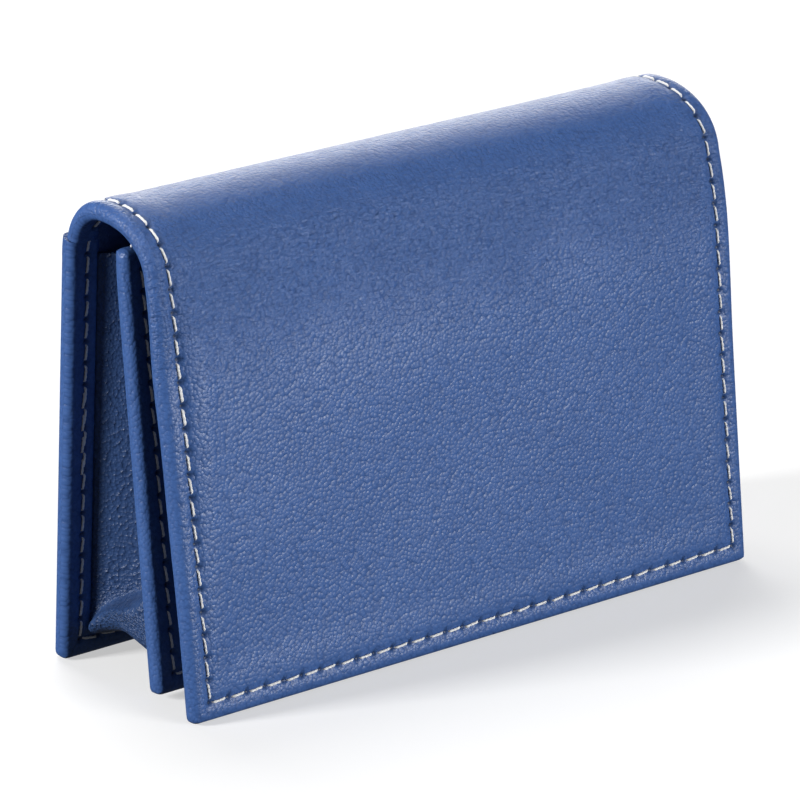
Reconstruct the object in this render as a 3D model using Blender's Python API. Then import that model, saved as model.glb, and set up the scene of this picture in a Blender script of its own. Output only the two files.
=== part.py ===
"""A gusseted business card case in leather, standing on its lower edges.

Metres, +Z up. The flap faces -Y and the back faces +Y. The origin is on the floor
under the middle of the case.
"""

import math

import bmesh
import bpy
from mathutils import Vector

MM = 0.001

# Overall
BACK_HALF_WIDTH = 52.0 * MM
FLAP_HALF_WIDTH = 51.8 * MM
FRONT_HALF_WIDTH = 50.4 * MM
BACK_TOP = 64.8 * MM
FRONT_TOP = 64.6 * MM
FRONT_FOOT = 0.2 * MM

# Leather, board and thread
SKIN = 0.7 * MM
EDGE_THICKNESS = 2.6 * MM
FRONT_THICKNESS = 2.4 * MM
TURN_IN = 3.4 * MM
BOARD = 0.5 * MM
FRONT_BOARD = 0.4 * MM
LINING = 0.6 * MM
GAP = 0.3 * MM
EDGE_ROUNDING = 0.8 * MM
ROUNDING_STEPS = 3
LEAST_ROUNDING = 0.2
STATION_SPACE = 0.2 * MM
SMOOTH_UNDER = math.radians(40.0)
SEAM_INSET = 2.4 * MM
THREAD = 0.5 * MM
THREAD_STANDS = 0.15 * MM
GROOVE_CLEARANCE = 0.15 * MM
GROOVE_DEPTH = 0.5 * MM
BACK_GROOVE_DEPTH = 0.35 * MM

# Flap: leans outward at the foot and curves in towards the crown
FLAP_FOOT_Y = -17.3 * MM
FLAP_FOOT_Z = 0.19 * MM
FLAP_LEAN = 0.107
FLAP_CURVE_FROM = 40.0 * MM
FLAP_CURVE = 3.0
FLAP_TOP = 63.3 * MM

# Crown: two quarter ellipses with one centre
CROWN_Y = 3.5 * MM
CROWN_Z = 61.4 * MM
CROWN_RISE = 10.2 * MM
CROWN_FRONT = 12.6 * MM
CROWN_BACK = 9.0 * MM
CROWN_START = math.radians(10.6)
FRONT_FOLD_AT = math.radians(42.0)
BACK_FOLD_AT = math.radians(132.0)

# Back wall
BACK_LEAN = 0.063
BACK_SKIN = 0.6 * MM
BACK_FLANGE = 4.6 * MM
BACK_FOOT_Z = 0.1 * MM

# Front of the card pocket
FRONT_TOP_Y = -0.5 * MM
FRONT_LEAN = 0.107
FRONT_EASE = 8.0 * MM

# Gusset strip between the back and the front
GUSSET_HALF_WIDTH = 47.1 * MM
GUSSET_FOOT = 2.6 * MM
GUSSET_TOP = 62.0 * MM
GUSSET_CORNER = 7.0 * MM
GUSSET_SKIN = 0.8 * MM
GUSSET_LEAF_TOP = 5.6 * MM
GUSSET_LEAF_FOOT = 9.9 * MM
GUSSET_CORNER_SHARE = 0.25

# Slot panel inside the pocket
SLOT_PANEL_TOP = 62.0 * MM
SLOT_PANEL_FOOT = 11.0 * MM
SLOT_PANEL_HALF_WIDTH = 41.5 * MM
SLOT_PANEL = 0.6 * MM

BLUE_LEATHER = (0.045, 0.085, 0.235)
BLUE_LINING = (0.035, 0.065, 0.18)
GREY_BOARD = (0.32, 0.30, 0.27)
ECRU_THREAD = (0.78, 0.76, 0.70)


def clear_scene():
    for obj in list(bpy.data.objects):
        bpy.data.objects.remove(obj, do_unlink=True)


def material(name, colour, roughness):
    """A plain surface with its own colour."""
    made = bpy.data.materials.new(name)
    made.use_nodes = True
    shader = made.node_tree.nodes["Principled BSDF"]
    shader.inputs["Base Color"].default_value = (*colour, 1.0)
    shader.inputs["Roughness"].default_value = roughness
    shader.inputs["Metallic"].default_value = 0.0
    return made


# ---------------------------------------------------------------- profiles


def cover_profile():
    """(y, z) points of the outer leather, from the flap's foot over the crown to the back's foot."""
    points = []
    flap_steps = 16
    for i in range(flap_steps):
        z = FLAP_FOOT_Z + (FLAP_TOP - FLAP_FOOT_Z) * i / flap_steps
        curve = FLAP_CURVE * max(0.0, z - FLAP_CURVE_FROM) ** 2
        points.append((FLAP_FOOT_Y + FLAP_LEAN * z + curve, z))
    crown_steps = 30
    for i in range(crown_steps + 1):
        t = CROWN_START + (math.pi - CROWN_START) * i / crown_steps
        reach = CROWN_FRONT if t < math.pi / 2 else CROWN_BACK
        points.append((CROWN_Y - reach * math.cos(t), CROWN_Z + CROWN_RISE * math.sin(t)))
    back_y = CROWN_Y + CROWN_BACK
    wall_steps = 4
    for i in range(1, wall_steps + 1):
        z = CROWN_Z + (BACK_FOOT_Z - CROWN_Z) * i / wall_steps
        points.append((back_y + BACK_LEAN * (CROWN_Z - z), z))
    return points


def front_profile():
    """(y, z) points of the outer face of the pocket front, from its foot to its top edge."""
    points = []
    steps = 12
    for i in range(steps + 1):
        z = FRONT_FOOT + (FRONT_TOP - FRONT_FOOT) * i / steps
        below = FRONT_TOP - z
        if below < FRONT_EASE:
            back_set = below * below / (2 * FRONT_EASE)
        else:
            back_set = below - FRONT_EASE / 2
        points.append((FRONT_TOP_Y - FRONT_LEAN * back_set, z))
    return points


class Profile:
    """A curve in the Y-Z plane, walked by its length, with a normal to the inside of the case."""

    def __init__(self, points):
        self.points = points
        self.lengths = [0.0]
        for a, b in zip(points, points[1:]):
            self.lengths.append(self.lengths[-1] + math.dist(a, b))
        self.total = self.lengths[-1]
        self.normals = []
        for i in range(len(points)):
            a = points[max(i - 1, 0)]
            b = points[min(i + 1, len(points) - 1)]
            long = math.dist(a, b)
            self.normals.append(((b[1] - a[1]) / long, (a[0] - b[0]) / long))

    def at(self, length, inward):
        """The point this far along the curve and this far inside it."""
        last = len(self.points) - 2
        i = 0
        while i < last and self.lengths[i + 1] < length:
            i += 1
        t = (length - self.lengths[i]) / (self.lengths[i + 1] - self.lengths[i])
        (ya, za), (yb, zb) = self.points[i], self.points[i + 1]
        (na, ma), (nb, mb) = self.normals[i], self.normals[i + 1]
        flat = min(max(t, 0.0), 1.0)
        normal = Vector((na + (nb - na) * flat, ma + (mb - ma) * flat)).normalized()
        y = ya + (yb - ya) * t + normal.x * inward
        z = za + (zb - za) * t + normal.y * inward
        return y, z

    def length_at_crown(self, angle):
        """How far along the curve the crown's ellipse reaches this angle."""
        reach = CROWN_FRONT if angle < math.pi / 2 else CROWN_BACK
        y = CROWN_Y - reach * math.cos(angle)
        z = CROWN_Z + CROWN_RISE * math.sin(angle)
        return self.nearest(y, z)

    def nearest(self, y, z):
        best = None
        for i, ((ya, za), (yb, zb)) in enumerate(zip(self.points, self.points[1:])):
            along = Vector((yb - ya, zb - za))
            t = along.dot(Vector((y - ya, z - za))) / along.length_squared
            t = min(max(t, 0.0), 1.0)
            away = math.dist((ya + (yb - ya) * t, za + (zb - za) * t), (y, z))
            if best is None or away < best[0]:
                best = (away, self.lengths[i] + along.length * t)
        return best[1]


COVER = Profile(cover_profile())
FRONT = Profile(front_profile())
FRONT_FOLD = COVER.length_at_crown(FRONT_FOLD_AT)
BACK_FOLD = COVER.length_at_crown(BACK_FOLD_AT)
BACK_MOUTH = COVER.nearest(CROWN_Y + CROWN_BACK, BACK_TOP)


# ---------------------------------------------------------------- solids


def finish(name, bm, look):
    bmesh.ops.recalc_face_normals(bm, faces=bm.faces)
    mesh = bpy.data.meshes.new(name)
    bm.to_mesh(mesh)
    bm.free()
    for polygon in mesh.polygons:
        polygon.use_smooth = True
    mesh.set_sharp_from_angle(angle=SMOOTH_UNDER)
    mesh.materials.append(look)
    obj = bpy.data.objects.new(name, mesh)
    bpy.context.scene.collection.objects.link(obj)


def loft(name, profile, rows, look):
    """A solid through (length, [(x, depth), ...]) cross-sections.

    Two rows at one length are a step: their common corners are shared and the rest is faced over.
    """
    bm = bmesh.new()
    verts = {}

    def vert(s, corner):
        key = (round(s / MM, 5), round(corner[0] / MM, 5), round(corner[1] / MM, 5))
        if key not in verts:
            y, z = profile.at(s, corner[1])
            verts[key] = bm.verts.new((corner[0], y, z))
        return verts[key]

    rings = [(s, [vert(s, corner) for corner in ring]) for s, ring in rows]
    for (sa, a), (sb, b) in zip(rings, rings[1:]):
        if sa != sb:
            face_ring(bm, a, b)
            continue
        common = [v for v in a if v in set(b)]
        for p, q in zip(common, common[1:] + common[:1]):
            over = between(a, p, q)
            under = between(b, p, q)
            if over or under:
                bm.faces.new([p, *over, q, *reversed(under)])
    bm.faces.new(rings[0][1])
    bm.faces.new(rings[-1][1])
    finish(name, bm, look)


def between(ring, p, q):
    """The corners of a ring strictly between two of its corners."""
    i = ring.index(p)
    found = []
    while ring[(i + 1) % len(ring)] is not q:
        i = (i + 1) % len(ring)
        found.append(ring[i])
    return found


def lengths(profile, start, end):
    """Lengths along the profile where a strip from start to end needs a cross-section."""
    inner = [s for s in profile.lengths if start + STATION_SPACE < s < end - STATION_SPACE]
    return [start, *inner, end]


def arc(x, depth, to_x, to_depth, radius, first_turn):
    """The rounded corner of a section: a quarter turn about a centre one radius in from it."""
    points = []
    for k in range(ROUNDING_STEPS + 1):
        turn = first_turn + math.pi / 2 * k / ROUNDING_STEPS
        points.append((x + to_x * radius + radius * math.cos(turn),
                       depth + to_depth * radius + radius * math.sin(turn)))
    return points


def section(half, outer, inner, rounding=0.0, inset=0.0, outer_cuts=(), inner_cuts=()):
    """Corners of a cross-section: outer face left to right, then inner face right to left.

    The cuts are the extra corners of grooves and recesses, listed left to right.
    """
    half -= inset
    outer += inset
    inner -= inset
    radius = max(rounding - inset, rounding * LEAST_ROUNDING)
    across = list(outer_cuts)
    back = list(reversed(inner_cuts))
    if not rounding:
        return [(-half, outer), *across, (half, outer), (half, inner), *back, (-half, inner)]
    ring = arc(-half, outer, 1, 1, radius, math.pi)
    ring += across
    ring += arc(half, outer, -1, 1, radius, math.pi * 1.5)
    ring += arc(half, inner, -1, -1, radius, 0.0)
    ring += back
    ring += arc(-half, inner, 1, -1, radius, math.pi / 2)
    return ring


def strip(name, profile, start, end, half, outer, inner, look):
    """A plain sheet that follows the profile from start to end, between two depths."""
    rows = [(s, section(half, outer, inner)) for s in lengths(profile, start, end)]
    loft(name, profile, rows, look)


def side_strip(name, profile, start, end, middle, half, outer, inner, look):
    """A narrow strip like a run of thread, centred on one x."""
    rows = []
    for s in lengths(profile, start, end):
        rows.append((s, [(middle + x, depth) for x, depth in section(half, outer, inner)]))
    loft(name, profile, rows, look)


def rounded_rows(length, half, outer, inner, rounding, towards, outer_xs, inner_xs):
    """Cross-sections that close one end of a panel in a quarter turn; towards is 1 at its start."""
    rows = []
    for k in range(ROUNDING_STEPS):
        turn = math.pi / 2 * k / ROUNDING_STEPS
        inset = rounding * (1 - math.sin(turn))
        s = length + towards * rounding * (1 - math.cos(turn))
        rows.append((s, section(half, outer, inner, rounding, inset,
                                [(x, outer + inset) for x in outer_xs],
                                [(x, inner - inset) for x in inner_xs])))
    return rows


def seam_run(name, profile, rows, foot, half_x, outer, inner, half_width, look, top=None):
    """A thread up both sides of a panel and across its foot, and across its top when one is given.

    The rows are the lengths of its side runs; foot and top are those where it turns a corner.
    """
    bm = bmesh.new()
    turns = [foot] if top is None else [foot, top]
    into_panel = 1.0 if foot == rows[0] else -1.0
    sides = [[], []]
    for side, sign in zip(sides, (-1, 1)):
        for s in rows:
            mitre = 0.0
            if s in turns:
                mitre = into_panel if s == foot else -into_panel
            ring = []
            for away, depth in ((1, outer), (1, inner), (-1, inner), (-1, outer)):
                y, z = profile.at(s - mitre * away * half_width, depth)
                ring.append(bm.verts.new((sign * (half_x + away * half_width), y, z)))
            side.append(ring)
        for a, b in zip(side, side[1:]):
            face_ring(bm, a, b)
    for s in turns:
        index = rows.index(s)
        face_ring(bm, sides[0][index], sides[1][index])
    if top is None:
        open_end = len(rows) - 1 - rows.index(foot)
        for side in sides:
            bm.faces.new(side[open_end])
    finish(name, bm, look)


def face_ring(bm, a, b):
    """Faces between two rings of corners."""
    for i in range(len(a)):
        j = (i + 1) % len(a)
        bm.faces.new((a[i], a[j], b[j], b[i]))


# ---------------------------------------------------------------- flap


def groove_cuts(half_x, face, depth, wide):
    """Corners of the seam groove in a face: two side runs, or one run across the whole width."""
    out = half_x + THREAD / 2 + GROOVE_CLEARANCE
    near = half_x - THREAD / 2 - GROOVE_CLEARANCE
    if wide:
        return [(-out, face), (-out, depth), (-near, depth), (near, depth), (out, depth), (out, face)]
    return [(-out, face), (-out, depth), (-near, depth), (-near, face),
            (near, face), (near, depth), (out, depth), (out, face)]


def step_rows(profile, start, end, breaks, make):
    """Rows from start to end with a step at each break; make(length) gives the section there."""
    rows = []
    edges = [start, *breaks, end]
    for low, high in zip(edges, edges[1:]):
        ring = make((low + high) / 2)
        rows += [(s, ring) for s in lengths(profile, low, high)]
    return rows


def flap_cover(leather):
    """Outer leather of the flap, its edges turned in round the board."""
    inside = FLAP_HALF_WIDTH - TURN_IN
    seam_x = FLAP_HALF_WIDTH - SEAM_INSET
    half_groove = THREAD / 2 + GROOVE_CLEARANCE
    out_x = seam_x + half_groove
    near_x = seam_x - half_groove
    groove_from = SEAM_INSET - half_groove
    groove_to = SEAM_INSET + half_groove

    def make(s):
        outer_cuts = [(-out_x, 0.0), (out_x, 0.0)]
        if groove_from < s < groove_to:
            outer_cuts = groove_cuts(seam_x, 0.0, GROOVE_DEPTH, True)
        elif s > groove_to:
            outer_cuts = groove_cuts(seam_x, 0.0, GROOVE_DEPTH, False)
        inner_cuts = [(-inside, EDGE_THICKNESS), (inside, EDGE_THICKNESS)]
        if s > TURN_IN:
            inner_cuts = [(-inside, EDGE_THICKNESS), (-inside, SKIN), (inside, SKIN),
                          (inside, EDGE_THICKNESS)]
        return section(FLAP_HALF_WIDTH, 0.0, EDGE_THICKNESS, EDGE_ROUNDING, 0.0,
                       outer_cuts, inner_cuts)

    rows = rounded_rows(0.0, FLAP_HALF_WIDTH, 0.0, EDGE_THICKNESS, EDGE_ROUNDING, 1,
                        (-out_x, out_x), (-inside, inside))
    rows += step_rows(COVER, EDGE_ROUNDING, FRONT_FOLD - GAP / 2,
                      (groove_from, groove_to, TURN_IN), make)
    loft("flap_cover", COVER, rows, leather)


def flap_board(board):
    inside = FLAP_HALF_WIDTH - TURN_IN - GAP
    strip("flap_board", COVER, TURN_IN + GAP, FLAP_TOP - 4 * MM, inside,
          SKIN + GAP, SKIN + GAP + BOARD, board)


def flap_lining(lining):
    inside = FLAP_HALF_WIDTH - TURN_IN - GAP
    depth = SKIN + 2 * GAP + BOARD
    strip("flap_lining", COVER, TURN_IN + GAP, FRONT_FOLD - GAP / 2, inside,
          depth, depth + LINING, lining)


def flap_thread(thread):
    rows = lengths(COVER, SEAM_INSET, FRONT_FOLD - GAP / 2)
    seam_run("flap_thread", COVER, rows, SEAM_INSET, FLAP_HALF_WIDTH - SEAM_INSET,
             -THREAD_STANDS, THREAD - THREAD_STANDS, THREAD / 2, thread)


# ---------------------------------------------------------------- spine


def spine_cover(leather):
    """Outer leather over the middle of the crown, with turned side edges."""
    inside = FLAP_HALF_WIDTH - TURN_IN
    cuts = groove_cuts(FLAP_HALF_WIDTH - SEAM_INSET, 0.0, GROOVE_DEPTH, False)
    recess = [(-inside, EDGE_THICKNESS), (-inside, SKIN), (inside, SKIN), (inside, EDGE_THICKNESS)]
    ring = section(FLAP_HALF_WIDTH, 0.0, EDGE_THICKNESS, EDGE_ROUNDING, 0.0, cuts, recess)
    spans = lengths(COVER, FRONT_FOLD + GAP / 2, BACK_FOLD - GAP / 2)
    loft("spine_cover", COVER, [(s, ring) for s in spans], leather)


def spine_lining(lining):
    inside = FLAP_HALF_WIDTH - TURN_IN - GAP
    depth = SKIN + 2 * GAP + BOARD
    strip("spine_lining", COVER, FRONT_FOLD + GAP / 2, BACK_FOLD - GAP / 2, inside,
          depth, depth + LINING, lining)


def spine_thread(thread, side, name):
    side_strip(name, COVER, FRONT_FOLD + GAP / 2, BACK_FOLD - GAP / 2,
               side * (FLAP_HALF_WIDTH - SEAM_INSET), THREAD / 2,
               -THREAD_STANDS, THREAD - THREAD_STANDS, thread)


# ---------------------------------------------------------------- back


def back_layers():
    """Depths of the back's layers: sleeve outside, board outer face, sleeve's inner flange, face."""
    sleeve = -GAP - BACK_SKIN
    board = BACK_SKIN + GAP
    flange = board + BOARD + GAP
    return sleeve, board, flange, flange + BACK_SKIN


def back_sleeve(leather):
    """Outermost rear leather, a slip pocket whose two sides and foot turn round onto the inside."""
    sleeve, _, flange, face = back_layers()
    wall = BACK_HALF_WIDTH - BACK_SKIN
    window = BACK_HALF_WIDTH - BACK_FLANGE
    seam_x = BACK_HALF_WIDTH - SEAM_INSET
    half_groove = THREAD / 2 + GROOVE_CLEARANCE
    out_x = seam_x + half_groove
    end = COVER.total - EDGE_ROUNDING
    foot_from = COVER.total - SEAM_INSET - half_groove
    foot_to = COVER.total - SEAM_INSET + half_groove
    groove = face - BACK_GROOVE_DEPTH

    def make(s):
        if s > foot_to:
            cuts = [(-out_x, face), (out_x, face)]
        elif s > foot_from:
            cuts = groove_cuts(seam_x, face, groove, True)
        else:
            cuts = groove_cuts(seam_x, face, groove, False)
            inner = [(-window, face), (window, face)]
            if s < COVER.total - BACK_FLANGE:
                inner = [(-window, face), (-window, flange), (-wall, flange), (-wall, -GAP),
                         (wall, -GAP), (wall, flange), (window, flange), (window, face)]
            cuts = cuts[:4] + inner + cuts[4:]
        return section(BACK_HALF_WIDTH, sleeve, face, EDGE_ROUNDING, 0.0, (), cuts)

    start = BACK_MOUTH + EDGE_ROUNDING / 2
    rows = step_rows(COVER, start, end, (COVER.total - BACK_FLANGE, foot_from, foot_to), make)
    rows += reversed(rounded_rows(COVER.total, BACK_HALF_WIDTH, sleeve, face, EDGE_ROUNDING, -1,
                                  (), (-out_x, out_x)))
    loft("back_sleeve", COVER, rows, leather)


def back_thread(thread):
    """The seam on the inside margin of the back: down one side, along the foot, up the other."""
    face = back_layers()[3]
    rows = lengths(COVER, BACK_MOUTH + MM, COVER.total - SEAM_INSET)
    seam_run("back_thread", COVER, rows, rows[-1], BACK_HALF_WIDTH - SEAM_INSET,
             face - BACK_GROOVE_DEPTH + GROOVE_CLEARANCE, face + THREAD_STANDS, THREAD / 2, thread)


def back_cover(leather):
    """The outer leather's run down inside the sleeve, thick-edged where it shows above it."""
    hidden = BACK_HALF_WIDTH - BACK_SKIN - GAP
    inside = BACK_HALF_WIDTH - BACK_FLANGE
    start = BACK_FOLD + GAP / 2
    mouth = BACK_MOUTH - GAP
    end = COVER.total - BACK_FLANGE - GAP
    rim = EDGE_THICKNESS
    seam_x = FLAP_HALF_WIDTH - SEAM_INSET
    cuts = groove_cuts(seam_x, 0.0, BACK_GROOVE_DEPTH, False)
    thick = [(-hidden, 0.0), *cuts, (hidden, 0.0), (hidden, BACK_SKIN), (hidden, rim),
             (inside, rim), (inside, BACK_SKIN), (-inside, BACK_SKIN), (-inside, rim),
             (-hidden, rim), (-hidden, BACK_SKIN)]
    thin = [(-hidden, 0.0), cuts[0], *cuts[3:5], cuts[7], (hidden, 0.0), (hidden, BACK_SKIN),
            (inside, BACK_SKIN), (-inside, BACK_SKIN), (-hidden, BACK_SKIN)]
    rows = [(s, thick) for s in lengths(COVER, start, mouth)]
    rows += [(s, thin) for s in lengths(COVER, mouth, end)]
    loft("back_cover", COVER, rows, leather)


def back_board(board):
    depth = back_layers()[1]
    half = BACK_HALF_WIDTH - BACK_SKIN - 2 * GAP
    strip("back_board", COVER, BACK_MOUTH + GAP, COVER.total - BACK_FLANGE - GAP, half,
          depth, depth + BOARD, board)


def back_lining(lining):
    """Lining of the card pocket's rear wall and of the crown's rear quarter."""
    flange, face = back_layers()[2:]
    half = BACK_HALF_WIDTH - BACK_FLANGE - GAP
    strip("back_lining", COVER, BACK_FOLD + GAP / 2, COVER.total - BACK_FLANGE - GAP, half,
          flange, face, lining)


def slot_panel(leather):
    """A flat slot sewn on the rear wall inside the card pocket."""
    start = COVER.nearest(CROWN_Y + CROWN_BACK, SLOT_PANEL_TOP)
    end = COVER.nearest(COVER.points[-1][0], SLOT_PANEL_FOOT)
    depth = back_layers()[3] + GAP
    strip("slot_panel", COVER, start, end, SLOT_PANEL_HALF_WIDTH, depth, depth + SLOT_PANEL,
          leather)


# ---------------------------------------------------------------- pocket front


def pocket_front_cover(leather):
    """Leather of the pocket's front wall, turned in on all four edges."""
    inside = FRONT_HALF_WIDTH - TURN_IN
    seam_x = FRONT_HALF_WIDTH - SEAM_INSET
    half_groove = THREAD / 2 + GROOVE_CLEARANCE
    out_x = seam_x + half_groove
    length = FRONT.total

    def make(s):
        from_end = min(s, length - s)
        outer_cuts = [(-out_x, 0.0), (out_x, 0.0)]
        if abs(from_end - SEAM_INSET) < half_groove:
            outer_cuts = groove_cuts(seam_x, 0.0, GROOVE_DEPTH, True)
        elif from_end > SEAM_INSET:
            outer_cuts = groove_cuts(seam_x, 0.0, GROOVE_DEPTH, False)
        inner_cuts = [(-inside, FRONT_THICKNESS), (inside, FRONT_THICKNESS)]
        if from_end > TURN_IN:
            inner_cuts = [(-inside, FRONT_THICKNESS), (-inside, SKIN), (inside, SKIN),
                          (inside, FRONT_THICKNESS)]
        return section(FRONT_HALF_WIDTH, 0.0, FRONT_THICKNESS, EDGE_ROUNDING, 0.0,
                       outer_cuts, inner_cuts)

    near = [SEAM_INSET - half_groove, SEAM_INSET + half_groove, TURN_IN]
    breaks = near + [length - s for s in reversed(near)]
    ends = (FRONT_HALF_WIDTH, 0.0, FRONT_THICKNESS, EDGE_ROUNDING)
    rows = rounded_rows(0.0, *ends, 1, (-out_x, out_x), (-inside, inside))
    rows += step_rows(FRONT, EDGE_ROUNDING, length - EDGE_ROUNDING, breaks, make)
    rows += reversed(rounded_rows(length, *ends, -1, (-out_x, out_x), (-inside, inside)))
    loft("pocket_front_cover", FRONT, rows, leather)


def pocket_front_thread(thread):
    rows = lengths(FRONT, SEAM_INSET, FRONT.total - SEAM_INSET)
    seam_run("pocket_front_thread", FRONT, rows, rows[0], FRONT_HALF_WIDTH - SEAM_INSET,
             -THREAD_STANDS, THREAD - THREAD_STANDS, THREAD / 2, thread, top=rows[-1])


def pocket_front_board(board):
    inside = FRONT_HALF_WIDTH - TURN_IN - GAP
    strip("pocket_front_board", FRONT, TURN_IN + GAP, FRONT.total - TURN_IN - GAP,
          inside, SKIN + GAP, SKIN + GAP + FRONT_BOARD, board)


def pocket_front_lining(lining):
    inside = FRONT_HALF_WIDTH - TURN_IN - GAP
    depth = SKIN + 2 * GAP + FRONT_BOARD
    strip("pocket_front_lining", FRONT, TURN_IN + GAP, FRONT.total - TURN_IN - GAP,
          inside, depth, depth + LINING, lining)


# ---------------------------------------------------------------- gusset


def back_face_y(z):
    """Y of the card pocket's rear wall at this height, on the sleeve's inner flange."""
    return CROWN_Y + CROWN_BACK + BACK_LEAN * (CROWN_Z - z) - back_layers()[3]


def front_face_y(z):
    """Y of the inside of the pocket front at this height."""
    return FRONT.at(FRONT.nearest(FRONT_TOP_Y, z), FRONT_THICKNESS)[0]


def gusset_path():
    """(x, z, outward x, outward z, corner share) down one side, round and along the foot, and up."""
    half = GUSSET_HALF_WIDTH
    radius = GUSSET_CORNER
    path = []
    side_steps = 10
    for i in range(side_steps):
        z = GUSSET_TOP + (GUSSET_FOOT + radius - GUSSET_TOP) * i / side_steps
        path.append((-half, z, -1.0, 0.0))
    corner_steps = 8
    for i in range(corner_steps + 1):
        turn = math.pi / 2 * i / corner_steps
        x = -half + radius - radius * math.cos(turn)
        z = GUSSET_FOOT + radius - radius * math.sin(turn)
        path.append((x, z, -math.cos(turn), -math.sin(turn)))
    path.append((0.0, GUSSET_FOOT, 0.0, -1.0))
    path += [(-x, z, -out_x, out_z) for x, z, out_x, out_z in reversed(path[:-1])]
    return path


def gusset_strip(leather):
    """One strip of leather folded inward along its middle, joining the back to the pocket front."""
    bm = bmesh.new()
    across_steps = 8
    outer = []
    inner = []
    for x, z, out_x, out_z in gusset_path():
        back_y = back_face_y(z) - GAP
        front_y = front_face_y(z) + GAP
        half_gap = (back_y - front_y) / 2
        low = max(0.0, (GUSSET_TOP - z) / (GUSSET_TOP - GUSSET_FOOT))
        leaf = GUSSET_LEAF_TOP + (GUSSET_LEAF_FOOT - GUSSET_LEAF_TOP) * low
        depth = math.sqrt(max(leaf * leaf - half_gap * half_gap, (2 * MM) ** 2))
        corner = 4 * (out_x * out_z) ** 2
        depth *= 1.0 - (1.0 - GUSSET_CORNER_SHARE) * corner
        for row, skin in ((outer, 0.0), (inner, GUSSET_SKIN)):
            line = []
            for k in range(across_steps + 1):
                v = 2.0 * k / across_steps - 1.0
                sink = depth * (1.0 - math.sqrt(v * v + 0.02)) + skin
                y = (back_y + front_y) / 2 + v * half_gap
                line.append(bm.verts.new((x - out_x * sink, y, z - out_z * sink)))
            row.append(line)
    for i in range(len(outer) - 1):
        for k in range(across_steps):
            for rows in (outer, inner):
                a, b = rows[i], rows[i + 1]
                bm.faces.new((a[k], a[k + 1], b[k + 1], b[k]))
        for k in (0, across_steps):
            bm.faces.new((outer[i][k], outer[i + 1][k], inner[i + 1][k], inner[i][k]))
    for i in (0, len(outer) - 1):
        for k in range(across_steps):
            bm.faces.new((outer[i][k], outer[i][k + 1], inner[i][k + 1], inner[i][k]))
    finish("gusset_strip", bm, leather)


# ---------------------------------------------------------------- assembly


def main():
    clear_scene()
    leather = material("blue_leather", BLUE_LEATHER, 0.45)
    lining = material("lining_leather", BLUE_LINING, 0.6)
    board = material("grey_board", GREY_BOARD, 0.9)
    thread = material("ecru_thread", ECRU_THREAD, 0.7)

    flap_cover(leather)
    flap_board(board)
    flap_lining(lining)
    flap_thread(thread)

    spine_cover(leather)
    spine_lining(lining)
    spine_thread(thread, -1, "spine_thread_left")
    spine_thread(thread, 1, "spine_thread_right")

    back_sleeve(leather)
    back_cover(leather)
    back_board(board)
    back_lining(lining)
    back_thread(thread)
    slot_panel(leather)

    pocket_front_cover(leather)
    pocket_front_board(board)
    pocket_front_lining(lining)
    pocket_front_thread(thread)

    gusset_strip(leather)


main()
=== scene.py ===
"""Looks of the leather business card case: dense leather panels, folded gusset, stitches, light and camera.

Metres, in the frame of the CAD part: the flap faces -Y, the back faces +Y, and it stands on Z 0.
"""
import math

import bpy
import numpy as np
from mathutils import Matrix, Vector


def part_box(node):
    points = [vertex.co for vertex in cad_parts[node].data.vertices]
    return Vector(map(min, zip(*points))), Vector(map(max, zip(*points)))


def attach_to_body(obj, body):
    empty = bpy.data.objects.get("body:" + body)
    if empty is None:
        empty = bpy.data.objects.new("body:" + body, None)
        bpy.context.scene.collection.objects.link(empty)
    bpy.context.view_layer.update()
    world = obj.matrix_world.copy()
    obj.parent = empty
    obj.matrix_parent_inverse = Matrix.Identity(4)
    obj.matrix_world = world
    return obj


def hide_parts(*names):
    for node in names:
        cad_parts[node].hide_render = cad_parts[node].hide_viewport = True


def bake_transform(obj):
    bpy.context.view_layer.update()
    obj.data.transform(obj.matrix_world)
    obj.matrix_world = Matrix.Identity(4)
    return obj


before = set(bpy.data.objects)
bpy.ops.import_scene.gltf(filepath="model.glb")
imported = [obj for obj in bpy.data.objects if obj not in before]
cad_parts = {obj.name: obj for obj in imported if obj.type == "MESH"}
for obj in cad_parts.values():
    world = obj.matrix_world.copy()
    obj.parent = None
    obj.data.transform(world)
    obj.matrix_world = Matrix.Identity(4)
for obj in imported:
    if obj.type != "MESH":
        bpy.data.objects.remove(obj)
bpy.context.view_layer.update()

MM = 0.001

# Driving sizes, read from the CAD nodes
FLAP_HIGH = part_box("flap_cover")[1]
SLEEVE_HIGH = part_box("back_sleeve")[1]
FRONT_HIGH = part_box("pocket_front_cover")[1]
SPINE_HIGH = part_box("spine_cover")[1]
GUSSET_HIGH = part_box("gusset_strip")[1]
SLOT_LOW, SLOT_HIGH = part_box("slot_panel")
FLAP_HALF = FLAP_HIGH.x
BACK_HALF = SLEEVE_HIGH.x
FRONT_HALF = FRONT_HIGH.x

# Flap: leans outward at the foot and curves in towards the crown
FLAP_FOOT_Y = -17.3 * MM
FLAP_FOOT_Z = 0.19 * MM
FLAP_LEAN = 0.107
FLAP_CURVE_FROM = 40.0 * MM
FLAP_CURVE = 3.0
FLAP_TOP = 63.3 * MM

# The flap's warp, by length from its foot: its left edge rolls back in two swells
ROLL_FROM_X = -44.5 * MM
ROLL_FULL_X = -51.8 * MM
LOW_ROLL = 0.8 * MM
LOW_ROLL_AT = 35 * MM
LOW_ROLL_WIDTH = 17 * MM
HIGH_ROLL = 1.0 * MM
HIGH_ROLL_AT = 50 * MM
HIGH_ROLL_WIDTH = 9 * MM

# and its right end bulges near the crown
BULGED_FROM_X = -20 * MM
BULGED_FULL_X = 52 * MM
BULGED = 0.85 * MM
BULGED_AT = 58 * MM
BULGED_WIDTH = 13 * MM

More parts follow.
